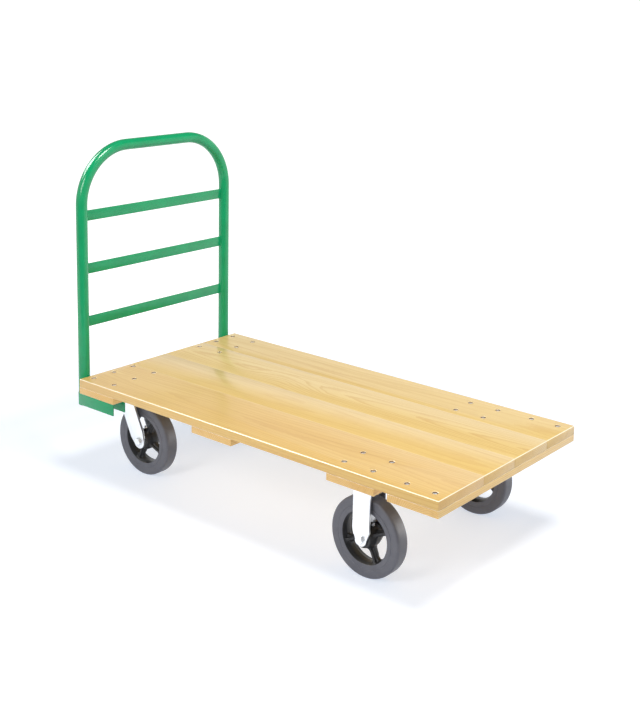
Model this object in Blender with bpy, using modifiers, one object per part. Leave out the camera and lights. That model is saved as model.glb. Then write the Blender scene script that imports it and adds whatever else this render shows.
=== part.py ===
"""Platform trolley: a plank deck on cross battens, a tube handle, two swivel and two rigid casters.

Metres, +Z up. The floor is Z 0, +X points to the open end of the deck, away from the handle, and the
trolley is symmetric about Y 0. "right" is the -Y side and "left" the +Y side, as seen from the handle.
"""

import math

import bmesh
import bpy
from mathutils import Matrix, Vector

INCH = 0.0254
GAP = 0.0003
WELD_DISTANCE = 0.00001
SMOOTH_ANGLE = math.radians(35)

# Deck: four planks along X on four cross battens
DECK_LENGTH = 48 * INCH
DECK_WIDTH = 24 * INCH
PLANK_WIDTHS = (7.2 * INCH, 5.3 * INCH, 6.0 * INCH, 5.5 * INCH)
PLANK_THICKNESS = 15 / 16 * INCH
PLANK_EASE = 0.0015
BATTEN_WIDTH = 5.55 * INCH
BATTEN_THICKNESS = 0.018
BATTEN_STARTS = {
    "handle": 0.0,
    "middle": 17.6 * INCH,
    "caster": 35.4 * INCH,
    "front": DECK_LENGTH - BATTEN_WIDTH,
}

# Handle: a bent tube with three flat bars, welded to two channel brackets
TUBE_DIAMETER = 1.25 * INCH
TUBE_WALL = 0.002
TUBE_SIDES = 12
TUBE_CLEARANCE = 0.1 * INCH
LEG_INSET = 1.25 * INCH
HANDLE_RISE = 25.8 * INCH
BEND_RADIUS = 6.25 * INCH
BEND_STEPS = 8
BAR_HEIGHT = 1.15 * INCH
BAR_THICKNESS = 3 / 16 * INCH
BAR_RISES = {"low": 6.0 * INCH, "middle": 11.95 * INCH, "top": 17.85 * INCH}
BRACKET_WIDTH = 1.7 * INCH
BRACKET_DEPTH = 1.5 * INCH
BRACKET_THICKNESS = 1 / 8 * INCH
BRACKET_REACH = 5.05 * INCH
TUBE_BELOW_BRACKET = 0.2 * INCH

# Casters: 8 by 1.5 inch wheels, 9.5 inches high overall
WHEEL_RADIUS = 4.0 * INCH
WHEEL_WIDTH = 1.5 * INCH
CASTER_HEIGHT = 9.5 * INCH
SWIVEL_FROM_HANDLE = 2.6 * INCH
SWIVEL_FROM_SIDE = 5.45 * INCH
RIGID_FROM_HANDLE = 38.05 * INCH
RIGID_FROM_SIDE = 2.85 * INCH
RIGID_AXLE_AHEAD = 0.35 * INCH
SWIVEL_TRAIL = 2.3 * INCH
PLATE_LENGTH = 4.5 * INCH
PLATE_WIDTH = 4.0 * INCH
PLATE_THICKNESS = 0.25 * INCH
PLATE_CORNER = 0.3 * INCH
LEG_THICKNESS = 1 / 4 * INCH
HUB_LENGTH = 2.125 * INCH
LEG_PLAY = 0.0005
RIGID_LEG_WIDTH = 1.96 * INCH
RIGID_TAPER_RISE = 0.85 * INCH
RIGID_TIP_RADIUS = 0.66 * INCH
SWIVEL_LEG_WIDTH = 2.06 * INCH
SWIVEL_TAPER_RISE = 0.8 * INCH
SWIVEL_TIP_RADIUS = 0.8 * INCH
SWIVEL_LEG_RAKE = math.radians(26.5)
CROWN_THICKNESS = 0.2 * INCH
CROWN_REACH = 1.35 * INCH
RACE_HEIGHT = 0.4 * INCH
RACE_RADIUS = 1.3 * INCH
RACE_SHOULDER_RADIUS = 1.14 * INCH
RACE_HOLE_RADIUS = 0.5 * INCH
TIP_STEPS = 8

# Wheel: rubber tyre moulded on a spoked iron core, which turns on a roller bearing
TYRE_INNER_RADIUS = 3.12 * INCH
TYRE_SHOULDER = 0.22 * INCH
TYRE_SEGMENTS = 40
RIM_MOUTH_RADIUS = 2.65 * INCH
RIM_THROAT_RADIUS = 2.5 * INCH
RIM_WIDTH = 1.44 * INCH
CORE_SEGMENTS = 32
HUB_WAIST_RADIUS = 1.15 * INCH
HUB_END_RADIUS = 0.9 * INCH
HUB_SEGMENTS = 16
SPOKES = 4
SPOKE_WIDTH = 0.62 * INCH
SPOKE_DEPTH = 0.6 * INCH
BEARING_RADIUS = 0.6 * INCH
SPOKE_TURNS = {
    "rigid_right": math.radians(24),
    "rigid_left": math.radians(71),
    "swivel_right": math.radians(65),
    "swivel_left": math.radians(20),
}

# Fasteners
BOLT_SPACING_X = 3.4 * INCH
BOLT_SPACING_Y = 2.8 * INCH
BOLT_RADIUS = 1 / 8 * INCH
BOLT_HEAD_FLATS = 7 / 16 * INCH
BOLT_HEAD_HEIGHT = 11 / 64 * INCH
NUT_HEIGHT = 7 / 32 * INCH
BOLT_SEGMENTS = 10
BOLT_END = 0.1 * INCH
RECESS_RADIUS = 0.28 * INCH
RECESS_DEPTH = 0.25 * INCH
HOLE_PLAY = 0.0005
HOLE_SEGMENTS = 12
AXLE_RADIUS = 0.25 * INCH
AXLE_HEAD_FLATS = 0.75 * INCH
AXLE_HEAD_HEIGHT = 0.3 * INCH
KINGPIN_HEAD_RADIUS = 0.45 * INCH
KINGPIN_HEAD_HEIGHT = 0.08 * INCH
KINGPIN_RECESS = 0.16 * INCH

# Places that follow from the driving dimensions
DECK_BOTTOM = CASTER_HEIGHT + BATTEN_THICKNESS
DECK_TOP = DECK_BOTTOM + PLANK_THICKNESS
DECK_END = (DECK_LENGTH + TUBE_CLEARANCE + TUBE_DIAMETER) / 2
HANDLE_END = DECK_END - DECK_LENGTH
SIDE = DECK_WIDTH / 2
TUBE_X = HANDLE_END - TUBE_CLEARANCE - TUBE_DIAMETER / 2
LEG_Y = SIDE - LEG_INSET
PLATE_BOTTOM = CASTER_HEIGHT - PLATE_THICKNESS
CROWN_TOP = PLATE_BOTTOM - RACE_HEIGHT
LEG_INSIDE = HUB_LENGTH / 2 + LEG_PLAY
LEG_OUTSIDE = LEG_INSIDE + LEG_THICKNESS
BRACKET_BOTTOM = CASTER_HEIGHT - BRACKET_DEPTH
SIDES = {"right": -1, "left": 1}

MATERIALS = {
    "deck_wood": ((0.80, 0.57, 0.30), 0.0, 0.35),
    "batten_wood": ((0.76, 0.52, 0.24), 0.0, 0.45),
    "green_paint": ((0.0, 0.36, 0.13), 0.0, 0.25),
    "zinc_steel": ((0.78, 0.80, 0.82), 1.0, 0.35),
    "cast_iron": ((0.02, 0.02, 0.022), 0.6, 0.5),
    "rubber": ((0.10, 0.10, 0.12), 0.0, 0.6),
    "bearing_steel": ((0.45, 0.45, 0.47), 1.0, 0.3),
}


def empty_scene():
    """Remove every object that the file opened with."""
    for old in list(bpy.data.objects):
        bpy.data.objects.remove(old)


def new_collection(name):
    """A collection under the scene's own."""
    made = bpy.data.collections.new(name)
    bpy.context.scene.collection.children.link(made)
    return made


def new_material(name, colour, metallic, roughness):
    """A plain Principled BSDF material."""
    material = bpy.data.materials.new(name)
    material.use_nodes = True
    shader = material.node_tree.nodes["Principled BSDF"]
    shader.inputs["Base Color"].default_value = (*colour, 1.0)
    shader.inputs["Metallic"].default_value = metallic
    shader.inputs["Roughness"].default_value = roughness
    return material


def add_part(name, mesh, material, location=(0, 0, 0), rotation=(0, 0, 0), parent=None):
    """One named sub-part with its own object and material."""
    part = bpy.data.objects.new(name, mesh)
    parts_collection.objects.link(part)
    if not mesh.materials:
        mesh.materials.append(materials[material])
    mesh.shade_smooth()
    mesh.set_sharp_from_angle(angle=SMOOTH_ANGLE)
    part.location = location
    part.rotation_euler = rotation
    part.parent = parent
    return part


def add_empty(name, location, parent=None):
    """An empty on a joint's axis, which carries the pieces that turn with it."""
    made = bpy.data.objects.new(name, None)
    parts_collection.objects.link(made)
    made.location = location
    made.parent = parent
    return made


def mesh_from(build):
    """A new mesh filled by build(bm)."""
    bm = bmesh.new()
    build(bm)
    mesh = bpy.data.meshes.new("solid")
    bm.to_mesh(mesh)
    bm.free()
    return mesh


def box_mesh(low, high):
    """A box between two corners."""
    low, high = Vector(low), Vector(high)
    place = Matrix.Translation((low + high) / 2) @ Matrix.Diagonal((*(high - low), 1.0))
    return mesh_from(lambda bm: bmesh.ops.create_cube(bm, size=1.0, matrix=place))


def add_rod(bm, radius, start, end, segments, turn=Matrix()):
    """A closed cylinder or prism on the local Z axis between two heights, then turned."""
    place = turn @ Matrix.Translation((0, 0, (start + end) / 2))
    bmesh.ops.create_cone(
        bm, cap_ends=True, segments=segments, radius1=radius, radius2=radius,
        depth=end - start, matrix=place,
    )


def rod_mesh(radius, start, end, segments, turn=Matrix()):
    """One rod as a mesh."""
    return mesh_from(lambda bm: add_rod(bm, radius, start, end, segments, turn))


def hex_mesh(flats, start, end):
    """A hexagonal prism on Z, given across its flats."""
    return rod_mesh(flats / math.sqrt(3), start, end, 6)


def evaluated_mesh(source):
    """A free-standing copy of an object's evaluated mesh."""
    depsgraph = bpy.context.evaluated_depsgraph_get()
    return bpy.data.meshes.new_from_object(source.evaluated_get(depsgraph))


def temporary(data):
    """A scratch object, linked so that it can be evaluated."""
    scratch = bpy.data.objects.new("scratch", data)
    bpy.context.scene.collection.objects.link(scratch)
    return scratch


def boolean_mesh(base, tools, operation):
    """Join or cut meshes with exact Booleans and return the resulting mesh."""
    body = temporary(base)
    helpers = [temporary(tool) for tool in tools]
    for helper in helpers:
        modifier = body.modifiers.new("boolean", "BOOLEAN")
        modifier.operation = operation
        modifier.solver = "EXACT"
        modifier.object = helper
    mesh = evaluated_mesh(body)
    for scratch in [body, *helpers]:
        bpy.data.objects.remove(scratch)
    return mesh


def turned_mesh(profile, segments):
    """A closed loop of (radius, height) points turned about Z. The outer side runs top to bottom."""
    mesh = bpy.data.meshes.new("profile")
    count = len(profile)
    edges = [(i, (i + 1) % count) for i in range(count)]
    mesh.from_pydata([(radius, 0, height) for radius, height in profile], edges, [])
    body = temporary(mesh)
    screw = body.modifiers.new("turn", "SCREW")
    screw.steps = segments
    screw.render_steps = segments
    screw.use_merge_vertices = True
    screw.merge_threshold = WELD_DISTANCE
    turned = evaluated_mesh(body)
    bpy.data.objects.remove(body)
    return turned


def outline_mesh(points, thickness, turn=Matrix()):
    """A flat outline in the local XY plane, thickened evenly about it, then turned."""
    curve = bpy.data.curves.new("outline", "CURVE")
    curve.dimensions = "2D"
    curve.fill_mode = "BOTH"
    curve.extrude = thickness / 2
    spline = curve.splines.new("POLY")
    spline.points.add(len(points) - 1)
    for point, (x, y) in zip(spline.points, points):
        point.co = (x, y, 0, 1)
    spline.use_cyclic_u = True
    body = temporary(curve)
    mesh = evaluated_mesh(body)
    bpy.data.objects.remove(body)
    weld(mesh)
    mesh.transform(turn)
    return mesh


def weld(mesh):
    """Close the loose caps of a mesh that came from a curve."""
    bm = bmesh.new()
    bm.from_mesh(mesh)
    bmesh.ops.remove_doubles(bm, verts=bm.verts, dist=WELD_DISTANCE)
    bmesh.ops.recalc_face_normals(bm, faces=bm.faces)
    bm.to_mesh(mesh)
    bm.free()


def arc(centre, radius, start, end, steps):
    """Points along an arc, both ends included, with its angles in radians."""
    angles = [start + (end - start) * i / steps for i in range(steps + 1)]
    return [(centre[0] + radius * math.cos(a), centre[1] + radius * math.sin(a)) for a in angles]


def rounded_rectangle(length, width, radius, steps=3):
    """Outline of a rectangle about the origin with round corners."""
    x, y = length / 2 - radius, width / 2 - radius
    corners = ((x, y, 0), (-x, y, 1), (-x, -y, 2), (x, -y, 3))
    points = []
    for cx, cy, quarter in corners:
        start = quarter * math.pi / 2
        points += arc((cx, cy), radius, start, start + math.pi / 2, steps)
    return points


def standing(distance):
    """Turns an outline drawn as (x, z) upright, with its middle plane at Y distance."""
    return Matrix.Translation((0, distance, 0)) @ Matrix.Rotation(math.pi / 2, 4, "X")


def plate_bolt_places():
    """Bolt places of a caster plate, about the plate's centre."""
    return [(sx * BOLT_SPACING_X / 2, sy * BOLT_SPACING_Y / 2) for sx in (-1, 1) for sy in (-1, 1)]


def caster_places():
    """Centre of each caster's plate on the underside of the deck."""
    places = {}
    for side, sign in SIDES.items():
        swivel = (HANDLE_END + SWIVEL_FROM_HANDLE, sign * (SIDE - SWIVEL_FROM_SIDE))
        rigid = (HANDLE_END + RIGID_FROM_HANDLE, sign * (SIDE - RIGID_FROM_SIDE))
        places[f"swivel_{side}"] = swivel
        places[f"rigid_{side}"] = rigid
    return places


def bracket_bolt_places():
    """Bolt places of the two handle brackets, in line with the swivel plates' bolts."""
    places = {}
    for side, sign in SIDES.items():
        for number, step in enumerate((-1, 1), start=1):
            x = HANDLE_END + SWIVEL_FROM_HANDLE + step * BOLT_SPACING_X / 2
            places[f"bracket_bolt_{side}_{number}"] = (x, sign * LEG_Y)
    return places


def caster_bolt_places():
    """Bolt places of the four caster plates."""
    places = {}
    for caster, (cx, cy) in caster_places().items():
        for number, (x, y) in enumerate(plate_bolt_places(), start=1):
            places[f"{caster}_bolt_{number}"] = (cx + x, cy + y)
    return places


def add_cutter(name, places, radius, start, end):
    """Upright holes at the given places, as one cutter object."""

    def build(bm):
        for x, y in places:
            add_rod(bm, radius, start, end, HOLE_SEGMENTS, Matrix.Translation((x, y, 0)))

    cutter = bpy.data.objects.new(name, mesh_from(build))
    cutters_collection.objects.link(cutter)
    cutter.hide_render = True
    cutter.display_type = "WIRE"
    return cutter


def cut(part, *cutters):
    """Cut live with each cutter object."""
    for cutter in cutters:
        modifier = part.modifiers.new(cutter.name, "BOOLEAN")
        modifier.operation = "DIFFERENCE"
        modifier.solver = "EXACT"
        modifier.object = cutter


def make_deck(shank_holes, head_recesses):
    """Four planks side by side, with eased edges and recessed bolt holes."""
    edge = -SIDE
    for number, width in enumerate(PLANK_WIDTHS, start=1):
        low = (HANDLE_END, edge + GAP / 2, DECK_BOTTOM + GAP)
        high = (DECK_END, edge + width - GAP / 2, DECK_TOP)
        plank = add_part(f"deck_plank_{number}", box_mesh(low, high), "deck_wood")
        ease = plank.modifiers.new("eased_edges", "BEVEL")
        ease.width = PLANK_EASE
        ease.segments = 1
        cut(plank, shank_holes, head_recesses)
        edge += width


def make_battens(shank_holes):
    """Cross boards under the planks, as wide as the deck."""
    for name, start in BATTEN_STARTS.items():
        low = (HANDLE_END + start, -SIDE, CASTER_HEIGHT)
        high = (HANDLE_END + start + BATTEN_WIDTH, SIDE, DECK_BOTTOM)
        batten = add_part(f"batten_{name}", box_mesh(low, high), "batten_wood")
        cut(batten, shank_holes)


def handle_route():
    """Centreline of the handle tube in the YZ plane, from the right foot to the left foot."""
    foot = BRACKET_BOTTOM - TUBE_BELOW_BRACKET
    top = DECK_TOP + HANDLE_RISE - TUBE_DIAMETER / 2
    turn = top - BEND_RADIUS
    inner = LEG_Y - BEND_RADIUS
    right = arc((-inner, turn), BEND_RADIUS, math.pi, math.pi / 2, BEND_STEPS)
    left = arc((inner, turn), BEND_RADIUS, math.pi / 2, 0, BEND_STEPS)
    return [(-LEG_Y, foot), *right, *left, (LEG_Y, foot)]


def make_handle_tube():
    """The bent tube, hollow and open at its two feet."""
    curve = bpy.data.curves.new("handle_route", "CURVE")
    curve.dimensions = "3D"
    curve.bevel_depth = TUBE_DIAMETER / 2
    curve.bevel_resolution = TUBE_SIDES // 2 - 2
    route = handle_route()
    spline = curve.splines.new("POLY")
    spline.points.add(len(route) - 1)
    for point, (y, z) in zip(spline.points, route):
        point.co = (TUBE_X, y, z, 1)
    body = temporary(curve)
    mesh = evaluated_mesh(body)
    bpy.data.objects.remove(body)
    weld(mesh)
    tube = add_part("handle_tube", mesh, "green_paint")
    wall = tube.modifiers.new("wall", "SOLIDIFY")
    wall.thickness = TUBE_WALL
    wall.offset = -1


def make_handle_bars():
    """Three flat bars between the handle's legs."""
    reach = LEG_Y - TUBE_DIAMETER / 2 - GAP
    for name, rise in BAR_RISES.items():
        low = (TUBE_X - BAR_THICKNESS / 2, -reach, DECK_TOP + rise - BAR_HEIGHT / 2)
        high = (TUBE_X + BAR_THICKNESS / 2, reach, DECK_TOP + rise + BAR_HEIGHT / 2)
        add_part(f"handle_bar_{name}", box_mesh(low, high), "green_paint")


def bracket_outline():
    """Cross-section of the channel that opens downwards, its top at height 0."""
    outer = BRACKET_WIDTH / 2
    inner = outer - BRACKET_THICKNESS
    return [
        (-outer, 0), (-outer, -BRACKET_DEPTH), (-inner, -BRACKET_DEPTH), (-inner, -BRACKET_THICKNESS),
        (inner, -BRACKET_THICKNESS), (inner, -BRACKET_DEPTH), (outer, -BRACKET_DEPTH), (outer, 0),
    ]


def make_brackets(shank_holes):
    """Channels under the handle batten, each notched round the foot of its leg."""
    start, end = TUBE_X, HANDLE_END + BRACKET_REACH
    along = Matrix.Rotation(math.pi / 2, 4, "Z") @ Matrix.Rotation(math.pi / 2, 4, "X")
    channel = outline_mesh(bracket_outline(), end - start, along)
    channel.transform(Matrix.Translation(((start + end) / 2, 0, CASTER_HEIGHT - GAP)))
    at_tube = Matrix.Translation((TUBE_X, 0, 0))
    notch_radius = TUBE_DIAMETER / 2 + HOLE_PLAY
    notch = rod_mesh(notch_radius, BRACKET_BOTTOM, DECK_TOP, TUBE_SIDES * 2, at_tube)
    mesh = boolean_mesh(channel, [notch], "DIFFERENCE")
    for side, sign in SIDES.items():
        bracket = add_part(f"handle_bracket_{side}", mesh, "green_paint", (0, sign * LEG_Y, 0))
        cut(bracket, shank_holes)


def bolt_mesh(grip):
    """A hex bolt with its nut, hanging from Z 0 under the head and clamping the given thickness."""
    head = hex_mesh(BOLT_HEAD_FLATS, GAP, BOLT_HEAD_HEIGHT)
    nut = hex_mesh(BOLT_HEAD_FLATS, -grip - NUT_HEIGHT - GAP, -grip - GAP)
    bottom = -grip - NUT_HEIGHT - BOLT_END
    shank = rod_mesh(BOLT_RADIUS, bottom, BOLT_HEAD_HEIGHT / 2, BOLT_SEGMENTS)
    return boolean_mesh(shank, [head, nut], "UNION")


def make_bolts():
    """Bolts through planks and battens, which hold the brackets and the caster plates."""
    seat = DECK_TOP - RECESS_DEPTH
    under_bracket = CASTER_HEIGHT - GAP - BRACKET_THICKNESS
    bracket_bolt = bolt_mesh(seat - under_bracket)
    caster_bolt = bolt_mesh(seat - PLATE_BOTTOM)
    for name, (x, y) in bracket_bolt_places().items():
        add_part(name, bracket_bolt, "zinc_steel", (x, y, seat))
    for name, (x, y) in caster_bolt_places().items():
        add_part(name, caster_bolt, "zinc_steel", (x, y, seat))


def tyre_mesh():
    """The rubber tyre, turned, with rounded shoulders."""
    half, inner = WHEEL_WIDTH / 2, TYRE_INNER_RADIUS + GAP
    centre = WHEEL_RADIUS - TYRE_SHOULDER
    top = arc((centre, half - TYRE_SHOULDER), TYRE_SHOULDER, math.pi / 2, 0, 2)
    bottom = arc((centre, TYRE_SHOULDER - half), TYRE_SHOULDER, 0, -math.pi / 2, 2)
    return turned_mesh([(inner, half), *top, *bottom, (inner, -half)], TYRE_SEGMENTS)


def core_mesh():
    """The iron core: a rim and a hub joined by spokes, bored for the bearing."""
    half = RIM_WIDTH / 2
    rim = turned_mesh(
        [
            (TYRE_INNER_RADIUS, half), (TYRE_INNER_RADIUS, -half),
            (RIM_MOUTH_RADIUS, -half), (RIM_THROAT_RADIUS, 0), (RIM_MOUTH_RADIUS, half),
        ],
        CORE_SEGMENTS,
    )
    bore = BEARING_RADIUS + GAP
    hub = turned_mesh(
        [
            (HUB_END_RADIUS, HUB_LENGTH / 2), (HUB_WAIST_RADIUS, 0), (HUB_END_RADIUS, -HUB_LENGTH / 2),
            (bore, -HUB_LENGTH / 2), (bore, HUB_LENGTH / 2),
        ],
        HUB_SEGMENTS,
    )
    inner = (BEARING_RADIUS + HUB_END_RADIUS) / 2
    outer = (RIM_MOUTH_RADIUS + TYRE_INNER_RADIUS) / 2
    spokes = []
    for number in range(SPOKES):
        low = (inner, -SPOKE_WIDTH / 2, -SPOKE_DEPTH / 2)
        high = (outer, SPOKE_WIDTH / 2, SPOKE_DEPTH / 2)
        spoke = box_mesh(low, high)
        spoke.transform(Matrix.Rotation(2 * math.pi * number / SPOKES, 4, "Z"))
        spokes.append(spoke)
    return boolean_mesh(rim, [hub, *spokes], "UNION")


def bearing_mesh():
    """The roller bearing as one sleeve, shorter than the hub."""
    half = HUB_LENGTH / 2 - GAP
    bore = AXLE_RADIUS + GAP
    sleeve = [(BEARING_RADIUS, half), (BEARING_RADIUS, -half), (bore, -half), (bore, half)]
    return turned_mesh(sleeve, HUB_SEGMENTS)


def axle_mesh():
    """The axle bolt on Z: hex head at +Z outside one leg, nut outside the other."""
    face = LEG_OUTSIDE + GAP
    head = hex_mesh(AXLE_HEAD_FLATS, face, face + AXLE_HEAD_HEIGHT)
    nut = hex_mesh(AXLE_HEAD_FLATS, -face - AXLE_HEAD_HEIGHT, -face)
    end = face + AXLE_HEAD_HEIGHT
    shank = rod_mesh(AXLE_RADIUS, -end - BOLT_END, end - AXLE_HEAD_HEIGHT / 2, BOLT_SEGMENTS)
    return boolean_mesh(shank, [head, nut], "UNION")


def plate_mesh():
    """A caster's top plate about its own centre."""
    middle = Matrix.Translation((0, 0, CASTER_HEIGHT - GAP - PLATE_THICKNESS / 2))
    return outline_mesh(rounded_rectangle(PLATE_LENGTH, PLATE_WIDTH, PLATE_CORNER), PLATE_THICKNESS, middle)


def bolt_hole_meshes():
    """Tools that cut a caster plate's four bolt holes."""
    tools = []
    for x, y in plate_bolt_places():
        place = Matrix.Translation((x, y, 0))
        radius = BOLT_RADIUS + HOLE_PLAY
        tools.append(rod_mesh(radius, CROWN_TOP, DECK_TOP, HOLE_SEGMENTS, place))
    return tools


def axle_hole_mesh(x):
    """Tool that cuts the axle hole through both legs."""
    turn = Matrix.Translation((x, 0, WHEEL_RADIUS)) @ Matrix.Rotation(math.pi / 2, 4, "X")
    return rod_mesh(AXLE_RADIUS + GAP, -2 * LEG_OUTSIDE, 2 * LEG_OUTSIDE, HOLE_SEGMENTS, turn)


def rigid_leg_outline():
    """Side view of a rigid leg about the axle: straight, then tapering to a round tip."""
    half = RIGID_LEG_WIDTH / 2
    top = PLATE_BOTTOM - WHEEL_RADIUS
    tip = arc((0, 0), RIGID_TIP_RADIUS, math.pi, 2 * math.pi, TIP_STEPS)
    return [(-half, top), (-half, RIGID_TAPER_RISE), *tip, (half, RIGID_TAPER_RISE), (half, top)]


def rigid_frame_mesh():
    """Plate, crown and two upright legs in one piece, with the legs set ahead of the plate's middle."""
    back, front = RIGID_AXLE_AHEAD - RIGID_LEG_WIDTH / 2, RIGID_AXLE_AHEAD + RIGID_LEG_WIDTH / 2
    crown_low = (back, -LEG_OUTSIDE, PLATE_BOTTOM - LEG_THICKNESS)
    crown_high = (front, LEG_OUTSIDE, PLATE_BOTTOM + PLATE_THICKNESS / 2)
    pieces = [box_mesh(crown_low, crown_high)]
    for sign in SIDES.values():
        leg = outline_mesh(
            rigid_leg_outline(), LEG_THICKNESS, standing(sign * (LEG_INSIDE + LEG_THICKNESS / 2))
        )
        leg.transform(Matrix.Translation((RIGID_AXLE_AHEAD, 0, WHEEL_RADIUS)))
        pieces.append(leg)
    joined = boolean_mesh(plate_mesh(), pieces, "UNION")
    return boolean_mesh(joined, [*bolt_hole_meshes(), axle_hole_mesh(RIGID_AXLE_AHEAD)], "DIFFERENCE")


def swivel_leg_outline():
    """Side view of a raked leg: a round tip at the axle, a short taper and straight sides to the crown."""
    half = SWIVEL_LEG_WIDTH / 2
    up = Vector((-math.sin(SWIVEL_LEG_RAKE), math.cos(SWIVEL_LEG_RAKE)))
    across = Vector((math.cos(SWIVEL_LEG_RAKE), math.sin(SWIVEL_LEG_RAKE)))
    axle = Vector((SWIVEL_TRAIL, WHEEL_RADIUS))
    top = CROWN_TOP - CROWN_THICKNESS / 2
    taper = axle + up * SWIVEL_TAPER_RISE
    back, front = taper - across * half, taper + across * half
    back_top = back + up * ((top - back.y) / up.y)
    front_top = front + up * ((top - front.y) / up.y)
    start = math.pi + SWIVEL_LEG_RAKE
    tip = arc(axle, SWIVEL_TIP_RADIUS, start, start + math.pi, TIP_STEPS)
    return [tuple(back_top), tuple(back), *tip, tuple(front), tuple(front_top)]


def swivel_fork_mesh():
    """Crown plate and two raked legs, about the kingpin's axis."""
    middle = Matrix.Translation((0, 0, CROWN_TOP - CROWN_THICKNESS / 2))
    outline = rounded_rectangle(2 * CROWN_REACH, 2 * LEG_OUTSIDE, PLATE_CORNER)
    legs = []
    for sign in SIDES.values():
        upright = standing(sign * (LEG_INSIDE + LEG_THICKNESS / 2))
        legs.append(outline_mesh(swivel_leg_outline(), LEG_THICKNESS, upright))
    joined = boolean_mesh(outline_mesh(outline, CROWN_THICKNESS, middle), legs, "UNION")
    kingpin_hole = rod_mesh(AXLE_RADIUS + GAP, WHEEL_RADIUS, DECK_TOP, HOLE_SEGMENTS)
    return boolean_mesh(joined, [kingpin_hole, axle_hole_mesh(SWIVEL_TRAIL)], "DIFFERENCE")


def swivel_plate_mesh():
    """Top plate with its bolt holes and a recess for the kingpin's head."""
    hole = rod_mesh(AXLE_RADIUS + GAP, WHEEL_RADIUS, DECK_TOP, HOLE_SEGMENTS)
    recess_floor = CASTER_HEIGHT - KINGPIN_RECESS
    recess = rod_mesh(KINGPIN_HEAD_RADIUS + GAP, recess_floor, DECK_TOP, HOLE_SEGMENTS)
    return boolean_mesh(plate_mesh(), [*bolt_hole_meshes(), hole, recess], "DIFFERENCE")


def race_mesh():
    """The ball race as one ring with a bulged track, between the plate and the crown."""
    low, high = CROWN_TOP + GAP, PLATE_BOTTOM - 2 * GAP
    ring = [
        (RACE_SHOULDER_RADIUS, high), (RACE_RADIUS, (low + high) / 2), (RACE_SHOULDER_RADIUS, low),
        (RACE_HOLE_RADIUS, low), (RACE_HOLE_RADIUS, high),
    ]
    return turned_mesh(ring, CORE_SEGMENTS)


def kingpin_mesh():
    """The swivel's vertical bolt: flat head in the plate, nut under the crown."""
    head_seat = CASTER_HEIGHT - KINGPIN_RECESS + GAP
    crown_bottom = CROWN_TOP - CROWN_THICKNESS
    head = rod_mesh(KINGPIN_HEAD_RADIUS, head_seat, head_seat + KINGPIN_HEAD_HEIGHT, HOLE_SEGMENTS)
    nut = hex_mesh(AXLE_HEAD_FLATS, crown_bottom - GAP - AXLE_HEAD_HEIGHT, crown_bottom - GAP)
    bottom = crown_bottom - AXLE_HEAD_HEIGHT - BOLT_END
    shank = rod_mesh(AXLE_RADIUS, bottom, head_seat + KINGPIN_HEAD_HEIGHT / 2, BOLT_SEGMENTS)
    return boolean_mesh(shank, [head, nut], "UNION")


def make_wheel(name, meshes, sign, parent, axle_place):
    """Axle, bearing, core and tyre of one caster, on an empty at the wheel's centre."""
    centre = add_empty(f"{name}_wheel_centre", axle_place, parent)
    on_axle = (math.pi / 2, 0, 0)
    turned = (math.pi / 2, -SPOKE_TURNS[name], 0)
    head_out = (-sign * math.pi / 2, 0, 0)
    add_part(f"{name}_axle", meshes["axle"], "zinc_steel", rotation=head_out, parent=centre)
    add_part(f"{name}_bearing", meshes["bearing"], "bearing_steel", rotation=on_axle, parent=centre)
    add_part(f"{name}_core", meshes["core"], "cast_iron", rotation=turned, parent=centre)
    add_part(f"{name}_tyre", meshes["tyre"], "rubber", rotation=on_axle, parent=centre)


def make_casters():
    """Two rigid and two swivel casters, each on an empty under its plate."""
    wheel = {"axle": axle_mesh(), "bearing": bearing_mesh(), "core": core_mesh(), "tyre": tyre_mesh()}
    rigid_frame = rigid_frame_mesh()
    swivel = {
        "plate": swivel_plate_mesh(), "race": race_mesh(), "kingpin": kingpin_mesh(),
        "fork": swivel_fork_mesh(),
    }
    for name, (x, y) in caster_places().items():
        sign = math.copysign(1, y)
        place = add_empty(name, (x, y, 0))
        if name.startswith("rigid"):
            add_part(f"{name}_frame", rigid_frame, "zinc_steel", parent=place)
            make_wheel(name, wheel, sign, place, (RIGID_AXLE_AHEAD, 0, WHEEL_RADIUS))
        else:
            for piece, mesh in swivel.items():
                add_part(f"{name}_{piece}", mesh, "zinc_steel", parent=place)
            make_wheel(name, wheel, sign, place, (SWIVEL_TRAIL, 0, WHEEL_RADIUS))


empty_scene()
parts_collection = new_collection("platform_trolley")
cutters_collection = new_collection("cutters")
materials = {name: new_material(name, *look) for name, look in MATERIALS.items()}

bolt_places = [*bracket_bolt_places().values(), *caster_bolt_places().values()]
shank_cutter = add_cutter("shank_holes", bolt_places, BOLT_RADIUS + HOLE_PLAY, PLATE_BOTTOM, 2 * DECK_TOP)
recess_cutter = add_cutter("head_recesses", bolt_places, RECESS_RADIUS, DECK_TOP - RECESS_DEPTH, 2 * DECK_TOP)

make_deck(shank_cutter, recess_cutter)
make_battens(shank_cutter)
make_handle_tube()
make_handle_bars()
make_brackets(shank_cutter)
make_bolts()
make_casters()
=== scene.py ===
"""Looks of the platform trolley: boards, painted tube, zinc casters and rubber wheels around the CAD frame.

Metres, in the CAD's frame: +X runs along the deck away from the handle, +Z is up and the floor is Z 0.
"""

import math
import random

import bmesh
import bpy
from mathutils import Matrix, Vector


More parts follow.
